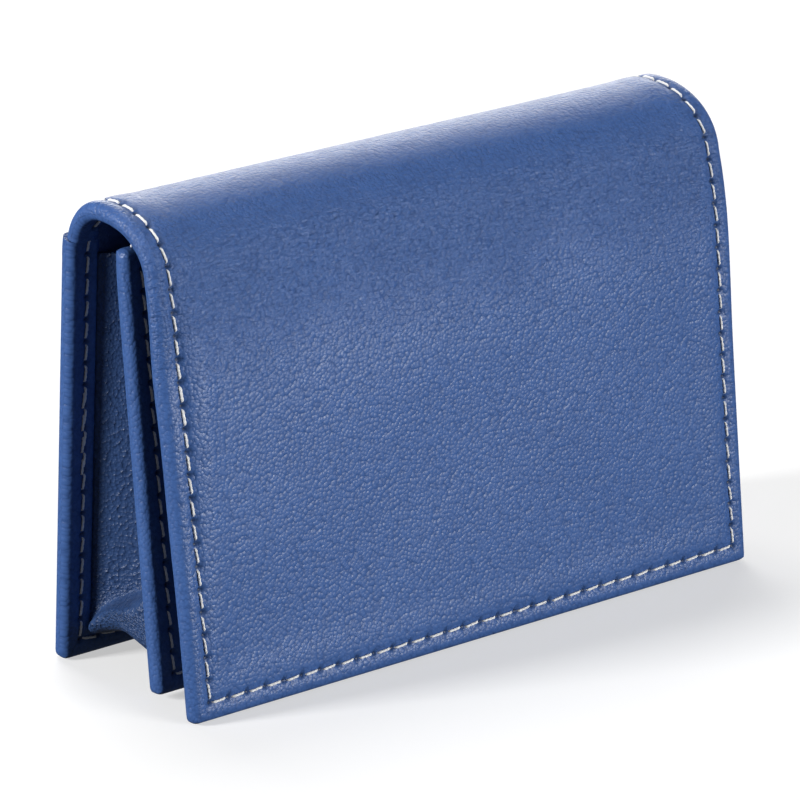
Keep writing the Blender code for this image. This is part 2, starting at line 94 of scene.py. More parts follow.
# Crown: two quarters of a squared ellipse with one centre
CROWN_Y = 3.5 * MM
CROWN_Z = 61.4 * MM
CROWN_RISE = SPINE_HIGH.z - CROWN_Z - 0.15 * MM
CROWN_POWER = 2 / 2.2
CROWN_FRONT = 12.6 * MM
CROWN_BACK = 9.0 * MM
CROWN_START = math.radians(10.6)
SPLIT_AT = math.radians(116.0)

# Back wall and pocket front
BACK_LEAN = 0.063
BACK_FOOT_Z = 0.1 * MM
BACK_TOP = 64.8 * MM
FRONT_TOP_Y = -0.5 * MM
FRONT_TOP = FRONT_HIGH.z + 0.8 * MM
FRONT_FOOT = 0.9 * MM
FRONT_LEAN = 0.107
FRONT_EASE = 8.0 * MM

# Layers, as depths under the outer leather
EDGE = 2.6 * MM
FRONT_EDGE = 2.9 * MM
SKIN = 0.75 * MM
MARGIN = 3.9 * MM
LINING_OUT = 1.8 * MM
LINING_IN = 2.45 * MM
SLEEVE_OUT = -0.9 * MM
SLEEVE_IN = 2.3 * MM
SLEEVE_MARGIN = 4.8 * MM
SLOT_OUT = 2.6 * MM
SLOT_IN = 3.2 * MM

# Seams
PITCH = 3.3 * MM
INSET = 2.9 * MM
FRONT_INSET = 2.9 * MM
THREAD = 0.21 * MM
STRAND = THREAD * 0.76
PLY_OFFSET = THREAD * 0.2
PLY_TURNS = 3.4
THREAD_RINGS = 15
THREAD_SIDES = 7
BOW_POWER = 9
STITCH_GAP = 0.48 * MM
GROOVE = 0.2 * MM
GROOVE_WIDTH = 0.5 * MM
PIT_RADIUS = 0.33 * MM
PIT_OUTSIDE = 0.4 * MM
PIT_INSIDE = 0.35 * MM

# Rounded rims
RIM_WIDTH = 1.2 * MM
RIM_STEPS = 7
RIM_SHARE = 0.54
INNER_RIM_WIDTH = 0.85
PLAN_CORNER = 1.3 * MM
MARGIN_BEND = 0.3

# Grid lines
STEP = 0.42 * MM
HOLE_STEP = 0.24 * MM
HOLE_CLEAR = 0.17 * MM
LEAST_STEP = 0.09 * MM

# Samples along the curves
FLAP_SAMPLES = 600
CROWN_SAMPLES = 400
WALL_SAMPLES = 500
NORMAL_WINDOW = 9


# ---- curves


class Curve:
    """A curve in the Y-Z plane, walked by its length, with its normal to the inside of the case."""

    def __init__(self, y, z, warp=None):
        self.warp = warp
        self.y = np.asarray(y)
        self.z = np.asarray(z)
        steps = np.hypot(np.diff(self.y), np.diff(self.z))
        self.s = np.concatenate([[0.0], np.cumsum(steps)])
        self.total = self.s[-1]
        normal_y = np.gradient(self.z, self.s)
        normal_z = -np.gradient(self.y, self.s)
        soft = np.ones(NORMAL_WINDOW) / NORMAL_WINDOW
        pad = len(soft) // 2
        normal_y = np.convolve(np.pad(normal_y, pad, mode="edge"), soft, "valid")
        normal_z = np.convolve(np.pad(normal_z, pad, mode="edge"), soft, "valid")
        length = np.hypot(normal_y, normal_z)
        self.normal_y = normal_y / length
        self.normal_z = normal_z / length

    def points(self, x, s, depth):
        """Points at these x and lengths, this far inside the curve."""
        if self.warp is not None:
            depth = depth + self.warp(x, s)
        y = np.interp(s, self.s, self.y) + np.interp(s, self.s, self.normal_y) * depth
        z = np.interp(s, self.s, self.z) + np.interp(s, self.s, self.normal_z) * depth
        x, y, z = np.broadcast_arrays(x, y, z)
        return np.stack([x, y, z], -1)

    def nearest(self, y, z):
        return float(self.s[np.argmin((self.y - y) ** 2 + (self.z - z) ** 2)])


def crown_point(angle):
    """(y, z) on the crown; the angle runs from 0 at the front to pi at the back."""
    reach = np.where(angle < math.pi / 2, CROWN_FRONT, CROWN_BACK)
    along = np.sign(np.cos(angle)) * abs(np.cos(angle)) ** CROWN_POWER
    return CROWN_Y - reach * along, CROWN_Z + CROWN_RISE * abs(np.sin(angle)) ** CROWN_POWER


def cover_curve():
    """From the flap's foot over the crown to the back's foot."""
    flap_z = np.linspace(FLAP_FOOT_Z, FLAP_TOP, FLAP_SAMPLES, endpoint=False)
    curved = np.maximum(0.0, flap_z - FLAP_CURVE_FROM)
    flap_y = FLAP_FOOT_Y + FLAP_LEAN * flap_z + FLAP_CURVE * curved**2
    crown_y, crown_z = crown_point(np.linspace(CROWN_START, math.pi, CROWN_SAMPLES))
    back_z = np.linspace(CROWN_Z, BACK_FOOT_Z, WALL_SAMPLES)[1:]
    back_y = CROWN_Y + CROWN_BACK + BACK_LEAN * (CROWN_Z - back_z)
    return Curve(np.concatenate([flap_y, crown_y, back_y]),
                 np.concatenate([flap_z, crown_z, back_z]), flap_warp)


def flap_warp(x, s):
    """How far the flap lies inside its straight shape at each point; less than 0 is outside it."""
    low_roll = LOW_ROLL * bell(s, LOW_ROLL_AT, LOW_ROLL_WIDTH)
    rolled = low_roll + HIGH_ROLL * bell(s, HIGH_ROLL_AT, HIGH_ROLL_WIDTH)
    rolled = rolled * smoothstep(ROLL_FROM_X, ROLL_FULL_X, x)
    bulged = BULGED * smoothstep(BULGED_FROM_X, BULGED_FULL_X, x) * bell(s, BULGED_AT, BULGED_WIDTH)
    return rolled - bulged


def front_curve():
    """The outer face of the pocket front, from its foot to its top edge."""
    z = np.linspace(FRONT_FOOT, FRONT_TOP, WALL_SAMPLES)
    below = FRONT_TOP - z
    eased = below**2 / (2 * FRONT_EASE)
    set_back = np.where(below < FRONT_EASE, eased, below - FRONT_EASE / 2)
    return Curve(FRONT_TOP_Y - FRONT_LEAN * set_back, z)


COVER = cover_curve()
FRONT = front_curve()


def cover_length(angle):
    """The cover's length from the flap's foot up to this angle of the crown."""
    y, z = crown_point(angle)
    return COVER.nearest(float(y), float(z))


SPLIT = cover_length(SPLIT_AT)
MOUTH = COVER.nearest(CROWN_Y + CROWN_BACK, BACK_TOP)


# ---- small helpers


def smoothstep(low, high, value):
    t = np.clip((value - low) / (high - low), 0.0, 1.0)
    return t * t * (3 - 2 * t)


def bell(value, middle, width):
    return np.exp(-(((value - middle) / width) ** 2))


def waves(x, s, wave_x, wave_s, seed):
    """Smooth unevenness, mostly within -1 to 1, with wavelengths near the two given."""
    count = 10
    rng = np.random.default_rng(seed)
    total = np.zeros(np.broadcast(x, s).shape)
    for _ in range(count):
        stretch = rng.uniform(0.6, 1.8, 2)
        turn = rng.uniform(-1.0, 1.0)
        phase = rng.uniform(0.0, 2 * math.pi)
        along = x / (wave_x * stretch[0]) + turn * s / (wave_s * stretch[1] * 2)
        across = s / (wave_s * stretch[1]) + turn * x / (wave_x * stretch[0] * 2)
        total += np.sin(2 * math.pi * along + phase) * np.cos(2 * math.pi * across + 2 * phase)
    return total / math.sqrt(count)


def quads(a, b, c, d):
    """Four-sided faces from four arrays of point numbers, one array for each corner."""
    return np.stack([a.ravel(), b.ravel(), c.ravel(), d.ravel()], -1).tolist()


def new_mesh(name, points, faces, material, uv, fields=None):
    """A smooth-shaded object; uv and each field have one value for each point."""
    mesh = bpy.data.meshes.new(name)
    mesh.from_pydata(points.tolist(), [], faces)
    mesh.polygons.foreach_set("use_smooth", [True] * len(mesh.polygons))
    layer = mesh.uv_layers.new(name="surface")
    corners = np.empty(len(mesh.loops), np.int32)
    mesh.loops.foreach_get("vertex_index", corners)
    layer.data.foreach_set("uv", uv[corners].astype(np.float32).ravel())
    for field, values in (fields or {}).items():
        attribute = mesh.attributes.new(field, "FLOAT", "POINT")
        attribute.data.foreach_set("value", values.astype(np.float32))
    mesh.update()
    mesh.materials.append(material)
    obj = bpy.data.objects.new(name, mesh)
    bpy.context.scene.collection.objects.link(obj)
    return obj


# ---- seams


def evenly(start, end):
    """Hole places from start to end, evenly spaced at about one stitch."""
    count = max(1, round(abs(end - start) / PITCH))
    return np.linspace(start, end, count + 1)


def run(xs, ss):
    """Stitches between holes in a row; each is ((x, s), (x, s))."""
    xs, ss = np.broadcast_arrays(xs, ss)
    holes = list(zip(xs.tolist(), ss.tolist()))
    return list(zip(holes, holes[1:]))


def u_seam(half_x, foot, top, towards):
    """A seam up both sides from a foot line, and across it; towards is 1 when the sides run upward in s."""
    sides = foot + towards * np.arange(0, abs(top - foot) + 1e-9, PITCH)
    return run(-half_x, sides) + run(evenly(-half_x, half_x), foot) + run(half_x, sides)


def holes_of(stitches):
    return sorted({hole for stitch in stitches for hole in stitch})


def pits(x, s, stitches):
    """How deep in a needle hole each point is, 0 to 1."""
    total = np.zeros(x.shape)
    flat_x = x[0]
    flat_s = s[:, 0]
    reach = 4 * PIT_RADIUS
    for hole_x, hole_s in holes_of(stitches):
        i = np.flatnonzero(abs(flat_x - hole_x) < reach)
        j = np.flatnonzero(abs(flat_s - hole_s) < reach)
        if len(i) and len(j):
            block = np.ix_(j, i)
            away = (x[block] - hole_x) ** 2 + (s[block] - hole_s) ** 2
            total[block] = np.maximum(total[block], np.exp(-away / PIT_RADIUS**2))
    return total


def thread_mesh(name, place, stitches, seed, slant=0.1 * MM):
    """Every stitch of a seam as a two-ply thread that dives into its holes.

    place(x, s, lift) gives points this far above the leather's seam groove.
    """
    rng = np.random.default_rng(seed)
    rings, sides = THREAD_RINGS, THREAD_SIDES
    ring_angle = np.linspace(0, 2 * math.pi, sides, endpoint=False)
    t = np.linspace(0.0, 1.0, rings)
    points, faces, uvs = [], [], []
    count = 0  # points made so far
    for (xa, sa), (xb, sb) in stitches:
        along = np.array([xb - xa, sb - sa])
        length = np.hypot(*along)
        along = along / length
        across = np.array([-along[1], along[0]])
        tilt = slant * rng.uniform(0.6, 1.4)
        start = np.array([xa, sa]) + along * STITCH_GAP * rng.uniform(0.7, 1.1) - across * tilt
        end = np.array([xb, sb]) - along * STITCH_GAP * rng.uniform(0.7, 1.1) + across * tilt
        line = start + (end - start) * t[:, None]
        bow = 1 - abs(2 * t - 1) ** BOW_POWER
        lift = THREAD * (1.1 * bow - 1.3 * (1 - bow)) * rng.uniform(0.85, 1.1)
        thin = 0.72 + 0.28 * bow
        for ply in (0.0, math.pi):
            twist = ply + t * math.pi * PLY_TURNS + rng.uniform(0, 0.6)
            thick = STRAND * thin[:, None]
            side = (PLY_OFFSET * np.cos(twist) * thin)[:, None] + thick * np.cos(ring_angle)
            high = (PLY_OFFSET * np.sin(twist) * thin)[:, None] + thick * np.sin(ring_angle)
            x = line[:, :1] + across[0] * side
            s = line[:, 1:] + across[1] * side
            points.append(place(x, s, lift[:, None] + high).reshape(-1, 3))
            uvs.append(np.stack([np.broadcast_to(ring_angle * STRAND, x.shape).ravel(),
                                 np.broadcast_to((t * length)[:, None], x.shape).ravel()], -1))
            for i in range(rings - 1):
                for k in range(sides):
                    a = count + i * sides + k
                    b = count + i * sides + (k + 1) % sides
                    faces.append((a, b, b + sides, a + sides))
            faces.append(tuple(count + k for k in reversed(range(sides))))
            faces.append(tuple(count + (rings - 1) * sides + k for k in range(sides)))
            count += rings * sides
    return new_mesh(name, np.concatenate(points), faces, THREAD_LOOK, np.concatenate(uvs))


# ---- panels


def rim_steps(width):
    """Distances from an edge that divide its rounding evenly."""
    return width * (1 - np.cos(np.linspace(0, math.pi / 2, RIM_STEPS + 1)))


def with_pitch(start, end, marks):
    """Lines from start to end, drawn closer round each mark."""
    lines = list(np.linspace(start, end, max(2, round((end - start) / STEP)) + 1))
    near = [-HOLE_STEP, 0.0, HOLE_STEP]
    extra = [m + d for m in marks for d in near if start < m + d < end]
    ends = (lines[0], lines[-1])
    keep = [v for v in lines if all(abs(v - e) > HOLE_CLEAR for e in extra) or v in ends]
    merged = sorted(keep + extra)
    clean = [merged[0]]
    for v in merged[1:-1]:
        if v - clean[-1] > LEAST_STEP and merged[-1] - v > LEAST_STEP:
            clean.append(v)
    return np.array(clean + [merged[-1]])


def lines_across(low, high, closed_low, closed_high, width, marks, stops):
    """Grid lines over a panel's width or length, with its rounded edges and its margins' ends marked."""
    rim = rim_steps(width)
    start = low + width if closed_low else low
    end = high - width if closed_high else high
    inner = with_pitch(start, end, marks)
    lines = list(inner)
    if closed_low:
        lines = list(low + rim[:-1]) + lines
    if closed_high:
        lines = lines + list(high - rim[:-1][::-1])
    lines = np.array(lines)
    for stop in stops:
        nearest = np.argmin(abs(lines - stop))
        if closed_low or closed_high or 0 < nearest < len(lines) - 1:
            lines[nearest] = stop
    return lines


def drop(distance, width, fall):
    """How far a rounded edge has fallen at this distance from the rim."""
    t = np.clip((width - distance) / width, 0.0, 1.0)
    return fall * (1 - np.sqrt(np.maximum(0.0, 1 - t * t)))


def rounded_plan(x, s, half, start, end, closed, radius):
    """x and s with the panel's closed corners rounded in plan."""
    side = half - abs(x)
    new_x, new_s = x.copy(), s.copy()
    for is_closed, line, sign in ((closed[0], start, 1.0), (closed[1], end, -1.0)):
        if not is_closed:
            continue
        up = sign * (s - line)
        near = (side < radius) & (up < radius)
        u = (radius - side[near]) / radius
        v = (radius - up[near]) / radius
        new_side = radius * (1 - u * np.sqrt(1 - v * v / 2))
        new_up = radius * (1 - v * np.sqrt(1 - u * u / 2))
        new_x[near] = np.sign(x[near]) * (half - new_side)
        new_s[near] = line + sign * new_up
    return new_x, new_s


def panel(name, curve, start, end, half, depths, material, closed=(True, False), margin=MARGIN,
          skin=SKIN, width=RIM_WIDTH, outer_seam=(), inner_seam=(), shape=None, bend=None,
          corner=PLAN_CORNER, inner_margins=True):
    """A leather panel as one closed mesh: outer face, rounded rim, turned-in margin and hidden inside.

    It runs along the curve from start to end; closed says which of those two ends has a rounded rim.
    depths are those of its outer face and of its turned-in margin. Without inner_margins it is a plain
    sheet with the same rim.
    """
    outer_depth, inner_depth = depths
    thick = inner_depth - outer_depth
    fall_out = thick * RIM_SHARE
    fall_in = thick - fall_out
    seams = list(outer_seam) + list(inner_seam)
    holes = holes_of(seams)
    marks_x = sorted({hole[0] for hole in holes})
    marks_s = sorted({hole[1] for hole in holes})
    stops_s = []
    if closed[0]:
        stops_s.append(start + margin)
    if closed[1]:
        stops_s.append(end - margin)
    xs = lines_across(-half, half, True, True, width, marks_x, (-half + margin, half - margin))
    ss = lines_across(start, end, closed[0], closed[1], width, marks_s, stops_s)
    x, s = np.meshgrid(xs, ss)
    away = half - abs(x)
    if closed[0]:
        away = np.minimum(away, s - start)
    if closed[1]:
        away = np.minimum(away, end - s)
    pit_out = pits(x, s, outer_seam)
    pit_in = pits(x, s, inner_seam)
    near_seam_out = seam_nearness(x, s, outer_seam)
    near_seam_in = seam_nearness(x, s, inner_seam)
    fade = smoothstep(0.0, width, away)
    out = outer_depth + drop(away, width, fall_out)
    out += (GROOVE * near_seam_out + PIT_OUTSIDE * pit_out) * fade
    if shape is not None:
        out += shape(x, s, away) * fade
    inn = inner_depth - drop(away, width * INNER_RIM_WIDTH, fall_in)
    inn -= (GROOVE * near_seam_in + PIT_INSIDE * pit_in) * fade
    plan_x, plan_s = rounded_plan(x, s, half, start, end, closed, corner)
    outer_points = curve.points(plan_x, plan_s, out)
    inner_points = curve.points(plan_x, plan_s, inn)

    rows, cols = x.shape
    across = np.concatenate([[0.0], np.cumsum(np.linalg.norm(
        np.diff(outer_points[rows // 2], axis=0), axis=1))])
    u = np.broadcast_to(across - across[-1] / 2, x.shape)
    beyond = abs(inn - outer_depth)
    uv_out = np.stack([u, s], -1)
    rim_x = half - abs(x) <= away + 1e-9
    uv_in = np.stack([u + np.where(rim_x, np.sign(x) * beyond, 0.0),
                      s + np.where(rim_x, 0.0, -beyond)], -1)

    points = [outer_points.reshape(-1, 3)]
    uvs = [uv_out.reshape(-1, 2)]
    bend_values = bend(x, s) if bend is not None else np.zeros(x.shape)
    # The hole field also sets where the leather material paints shade into the needle holes
    fields = {"hole": [pit_out.ravel()], "seam": [near_seam_out.ravel()], "bend": [bend_values.ravel()]}
    faces = []
    index = np.arange(rows * cols).reshape(rows, cols)
    faces += quads(index[:-1, :-1], index[:-1, 1:], index[1:, 1:], index[1:, :-1])

    count = rows * cols
    inside = np.full((rows, cols), -1)
    left = int(np.argmin(abs(xs - (-half + margin))))
    right = int(np.argmin(abs(xs - (half - margin))))
    low = int(np.argmin(abs(ss - (start + margin)))) if closed[0] else 0
    high = int(np.argmin(abs(ss - (end - margin)))) if closed[1] else rows - 1
    kept = np.zeros((rows, cols), bool)
    kept[:, : left + 1] = True
    kept[:, right:] = True
    if closed[0]:
        kept[: low + 1] = True
    if closed[1]:
        kept[high:] = True
    if not inner_margins:
        kept[:] = True
    rim = np.zeros((rows, cols), bool)
    rim[:, 0] = True
    rim[:, -1] = True
    if closed[0]:
        rim[0] = True
    if closed[1]:
        rim[-1] = True
    inside[rim] = index[rim]
    fresh = kept & ~rim
    inside[fresh] = count + np.arange(fresh.sum())
    points.append(inner_points[fresh])
    uvs.append(uv_in[fresh])
    fields["hole"].append(pit_in[fresh])
    fields["seam"].append(near_seam_in[fresh])
    fields["bend"].append(bend_values[fresh] * MARGIN_BEND)
    count += int(fresh.sum())
    whole = kept[:-1, :-1] & kept[:-1, 1:] & kept[1:, 1:] & kept[1:, :-1]
    if inner_margins:
        cell_s, cell_x = np.meshgrid(np.arange(rows - 1), np.arange(cols - 1), indexing="ij")
        middle = (cell_x >= left) & (cell_x < right) & (cell_s >= low) & (cell_s < high)
        whole &= ~middle
    a, b = inside[:-1, :-1][whole], inside[:-1, 1:][whole]
    c, d = inside[1:, 1:][whole], inside[1:, :-1][whole]
    faces += quads(d, c, b, a)

    if inner_margins:
        # The hidden inside: one wide face for each row, behind the lining
        span = np.arange(low, high + 1)
        hidden = curve.points(xs[[left, right]][None, :], ss[span][:, None], outer_depth + skin)
        hidden_index = count + np.arange(hidden.shape[0] * 2).reshape(-1, 2)
        points.append(hidden.reshape(-1, 3))
        hidden_uv = np.stack(np.broadcast_arrays(xs[[left, right]][None, :], ss[span][:, None]), -1)
        uvs.append(hidden_uv.reshape(-1, 2))
        for values in fields.values():
            values.append(np.zeros(hidden_index.size))
        count += hidden_index.size
        faces += quads(hidden_index[1:, 0], hidden_index[1:, 1], hidden_index[:-1, 1], hidden_index[:-1, 0])
        faces += quads(inside[span[1:], left], hidden_index[1:, 0], hidden_index[:-1, 0],
                       inside[span[:-1], left])
        faces += quads(hidden_index[1:, 1], inside[span[1:], right], inside[span[:-1], right],
                       hidden_index[:-1, 1])
        if closed[0]:
            faces.append([*inside[low, left:right + 1].tolist(), int(hidden_index[0, 1]),
                          int(hidden_index[0, 0])])
        if closed[1]:
            faces.append([*inside[high, left:right + 1][::-1].tolist(), int(hidden_index[-1, 0]),
                          int(hidden_index[-1, 1])])
    cap_points = []
    for is_closed, row, flip in ((closed[0], 0, False), (closed[1], rows - 1, True)):
        if is_closed:
            continue
        if inner_margins:
            hidden_row = hidden_index[0 if row == 0 else -1]
            ring = (index[row].tolist() + inside[row, right:-1][::-1].tolist()
                    + [int(hidden_row[1]), int(hidden_row[0])] + inside[row, 1:left + 1][::-1].tolist())
        else:
            ring = index[row].tolist() + inside[row, 1:-1][::-1].tolist()
        faces.append(ring if flip else ring[::-1])
        cap_points += ring

    fields = {field: np.concatenate(values) for field, values in fields.items()}
    obj = new_mesh(name, np.concatenate(points), faces, material, np.concatenate(uvs), fields)
    sharpen(obj.data, cap_points)
    return obj


def sharpen(mesh, cap_points):
    """Marks the edges round the open ends sharp, so that their caps don't bend the shading beside them."""
    on_cap = np.zeros(len(mesh.vertices), bool)
    on_cap[cap_points] = True
    ends = np.empty(len(mesh.edges) * 2, np.int32)
    mesh.edges.foreach_get("vertices", ends)
    sharp = on_cap[ends.reshape(-1, 2)].all(axis=1)
    mesh.edges.foreach_set("use_edge_sharp", sharp)
    mesh.update()


def seam_nearness(x, s, stitches):
    """1 on a seam's line, falling to 0 beside it."""
    if not stitches:
        return np.zeros(x.shape)
    lines = {}
    for (xa, sa), (xb, sb) in stitches:
        upright = abs(xa - xb) < abs(sa - sb)
        key = (upright, round(xa if upright else sa, 7))
        low, high = sorted((sa, sb) if upright else (xa, xb))
        old = lines.get(key, (low, high))
        lines[key] = (min(low, old[0]), max(high, old[1]))
    total = np.zeros(x.shape)
    for (upright, at), (low, high) in lines.items():
        along, beside = (s, x - at) if upright else (x, s - at)
        past = np.maximum(0, np.maximum(low - along, along - high))
        total = np.maximum(total, np.exp(-(beside**2 + past**2) / GROOVE_WIDTH**2))
    return total


def on_curve(curve, depth, facing):
    """A place() for threads on a panel's outer face (facing -1) or on its inner one (facing 1)."""
    floor = depth - facing * GROOVE

    def place(x, s, lift):
        return curve.points(x, s, floor + facing * lift)

    return place


# ---- materials


class Nodes:
    """Short calls for making one material's nodes."""

    def __init__(self, name):
        self.material = bpy.data.materials.new(name)
        self.material.use_nodes = True
        self.tree = self.material.node_tree
        self.tree.nodes.clear()
        self.out = self.add("ShaderNodeOutputMaterial")
        self.shader = self.add("ShaderNodeBsdfPrincipled")
        self.link(self.shader.outputs[0], self.out.inputs["Surface"])

    def add(self, kind, **settings):
        node = self.tree.nodes.new(kind)
        for key, value in settings.items():
            setattr(node, key, value)
        return node

    def link(self, source, target):
        self.tree.links.new(source, target)

    def set(self, node, **values):
        """Constants for a node's sockets, named with _ for each space."""
        for name, value in values.items():
            node.inputs[name.replace("_", " ")].default_value = value

    def feed(self, socket, value):
        if isinstance(value, bpy.types.NodeSocket):
            self.link(value, socket)
        else:
            socket.default_value = value

    def math(self, operation, a, b):
        node = self.add("ShaderNodeMath", operation=operation)
        self.feed(node.inputs[0], a)
        self.feed(node.inputs[1], b)
        return node.outputs[0]

    def field(self, name):
        return self.add("ShaderNodeAttribute", attribute_name=name).outputs["Fac"]

    def surface(self, scale=(1.0, 1.0, 1.0)):
        """The panel's own coordinates in millimetres, x and length, times a scale."""
        uv = self.add("ShaderNodeUVMap", uv_map="surface")
        mapping = self.add("ShaderNodeMapping")
        self.link(uv.outputs[0], mapping.inputs["Vector"])
        mapping.inputs["Scale"].default_value = [v / MM for v in scale]
        return mapping.outputs[0]

    def noise(self, vector, scale, detail=3.0, roughness=0.5, distortion=0.0):
        node = self.add("ShaderNodeTexNoise")
        self.link(vector, node.inputs["Vector"])
        self.set(node, Scale=scale, Detail=detail, Roughness=roughness, Distortion=distortion)
        return node.outputs["Fac"]

    def pebbles(self, vector, scale):
        """Round-topped cells with narrow valleys: 0 at a cell's middle, about 1 in the valleys."""
        node = self.add("ShaderNodeTexVoronoi", feature="F1")
        self.link(vector, node.inputs["Vector"])
        node.inputs["Scale"].default_value = scale
        return self.math("POWER", node.outputs["Distance"], 2.0)

    def shifted(self, vector, amount, scale):
        """A vector stirred by noise, so that cells lose their regular look."""
        node = self.add("ShaderNodeTexNoise")
        self.link(vector, node.inputs["Vector"])
        node.inputs["Scale"].default_value = scale
        mix = self.add("ShaderNodeVectorMath", operation="MULTIPLY_ADD")
        self.link(node.outputs["Color"], mix.inputs[0])
        mix.inputs[1].default_value = (amount, amount, amount)
        self.link(vector, mix.inputs[2])
        return mix.outputs[0]

    def scale_range(self, value, low, high, to_low, to_high):
        node = self.add("ShaderNodeMapRange")
        self.link(value, node.inputs["Value"])
        self.set(node, From_Min=low, From_Max=high, To_Min=to_low, To_Max=to_high)
        return node.outputs["Result"]

    def mix(self, factor, a, b):
        node = self.add("ShaderNodeMix", data_type="RGBA")
        self.feed(node.inputs["Factor"], factor)
        self.feed(node.inputs["A"], a)
        self.feed(node.inputs["B"], b)
        return node.outputs["Result"]

    def bump(self, height, strength, distance, normal=None):
        node = self.add("ShaderNodeBump")
        self.set(node, Strength=strength, Distance=distance)
        self.link(height, node.inputs["Height"])
        if normal is not None:
            self.link(normal, node.inputs["Normal"])
        return node.outputs["Normal"]


# Leather, with scales in features per millimetre
PEBBLE_SCALE = 1.85
PEBBLE_HEIGHT = 0.08 * MM
PEBBLE_STIR = (0.1, 1.8)
CREASE_STRETCH = (0.9, 3.0, 1.0)
CREASE_HEIGHT = 0.25 * MM
# Painted shade: the near-black colour put into the needle holes, where shade falls
NEEDLE_HOLE_SHADE = (0.004, 0.006, 0.014)
LEATHER_SPECULAR = 0.34


def rgb(*colour):
    return (*colour, 1.0)


def leather(name, colour, deep, pale, roughness, grain=1.0):
    """Pebbled leather: fine grain, long wrinkles where it bends, and painted shade that darkens its needle
    holes.

    deep and pale are the colours of its darker and lighter patches; grain scales the pebbles' height.
    """
    n = Nodes(name)
    flat = n.surface()
    cells = n.pebbles(n.shifted(flat, *PEBBLE_STIR), PEBBLE_SCALE)
    small = n.noise(flat, 3.0, 1.0, 0.5)
    broad = n.noise(flat, 0.06, 3.0, 0.5)
    patch = n.noise(flat, 0.45, 3.0, 0.6)
    creases = n.noise(n.surface(CREASE_STRETCH), 0.8, 4.0, 0.62, 0.6)
    bend = n.field("bend")
    seam = n.field("seam")
    hole = n.field("hole")

    tone = n.mix(n.scale_range(broad, 0.3, 0.7, 0.0, 1.0), rgb(*colour), rgb(*pale))
    tone = n.mix(n.scale_range(patch, 0.35, 0.8, 0.0, 0.35), tone, rgb(*deep))
    tone = n.mix(n.scale_range(cells, 0.15, 0.6, 0.0, 0.5), tone, rgb(*deep))
    tone = n.mix(n.math("MULTIPLY", seam, 0.25), tone, rgb(*deep))
    # Painted shade: the needle holes are coloured near black
    tone = n.mix(hole, tone, rgb(*NEEDLE_HOLE_SHADE))
    n.link(tone, n.shader.inputs["Base Color"])

    rough = n.scale_range(n.math("ADD", patch, n.math("MULTIPLY", small, 0.6)), 0.5, 1.1,
                          roughness - 0.05, roughness + 0.07)
    n.link(rough, n.shader.inputs["Roughness"])
    n.shader.inputs["Specular IOR Level"].default_value = LEATHER_SPECULAR

    height = n.math("SUBTRACT", 1.0, cells)
    height = n.math("ADD", height, n.math("MULTIPLY", small, 0.22))
    swell = n.math("ADD", 1.0, n.math("MULTIPLY", bend, 0.8))
    height = n.math("MULTIPLY", height, swell)
    normal = n.bump(height, 1.0, PEBBLE_HEIGHT * grain)
    folds = n.math("MULTIPLY", creases, bend)
    normal = n.bump(folds, 1.0, CREASE_HEIGHT, normal)
    n.link(normal, n.shader.inputs["Normal"])
    return n.material


def thread_material():
    """Off-white sewing thread with fine fibres along it."""
    n = Nodes("ecru_thread")
    flat = n.surface()
    fibres = n.noise(n.surface((9.0, 1.2, 1.0)), 1.0, 3.0, 0.6)
    soil = n.noise(flat, 0.5, 2.0)
    mixed = n.scale_range(fibres, 0.3, 0.7, 0.0, 1.0)
    tone = n.mix(mixed, rgb(0.80, 0.80, 0.79), rgb(0.97, 0.97, 0.96))
    tone = n.mix(n.scale_range(soil, 0.5, 0.8, 0.0, 0.25), tone, rgb(0.55, 0.56, 0.58))
    n.link(tone, n.shader.inputs["Base Color"])
    n.link(n.scale_range(fibres, 0.2, 0.8, 0.5, 0.75), n.shader.inputs["Roughness"])
    n.shader.inputs["Sheen Weight"].default_value = 0.2
    n.link(n.bump(fibres, 0.6, 0.03 * MM), n.shader.inputs["Normal"])
    return n.material


def board_material():
    """Grey stiffener board with flecks and a fibrous face; its CAD node has no coordinates of its own."""
    n = Nodes("grey_board")
    place = n.add("ShaderNodeTexCoord").outputs["Object"]
    mapping = n.add("ShaderNodeMapping")
    n.link(place, mapping.inputs["Vector"])
    mapping.inputs["Scale"].default_value = (1 / MM, 1 / MM, 1 / MM)
    flecks = n.noise(mapping.outputs[0], 0.9, 4.0, 0.7)
    fibres = n.noise(mapping.outputs[0], 4.0, 3.0, 0.6)
    mixed = n.scale_range(flecks, 0.35, 0.7, 0.0, 1.0)
    tone = n.mix(mixed, rgb(0.24, 0.225, 0.2), rgb(0.38, 0.36, 0.32))
    n.link(tone, n.shader.inputs["Base Color"])
    n.link(n.scale_range(fibres, 0.3, 0.7, 0.8, 0.95), n.shader.inputs["Roughness"])
    n.link(n.bump(fibres, 0.5, 0.04 * MM), n.shader.inputs["Normal"])
    return n.material


BLUE = leather("blue_leather", colour=(0.052, 0.122, 0.34), deep=(0.030, 0.076, 0.23),
               pale=(0.060, 0.136, 0.37), roughness=0.38)
# A darker copy of the blue leather for the gusset and slot panel deep in the case: its darkening is painted
# shade
SHADED_INNER_BLUE = leather("shaded_inner_leather", colour=(0.030, 0.068, 0.18), deep=(0.018, 0.042, 0.12),
                     pale=(0.036, 0.078, 0.20), roughness=0.36, grain=1.5)
LINING = leather("lining_leather", colour=(0.034, 0.07, 0.19), deep=(0.022, 0.048, 0.14),
                 pale=(0.04, 0.08, 0.205), roughness=0.55, grain=0.6)
THREAD_LOOK = thread_material()
BOARD = board_material()


# ---- leather pieces


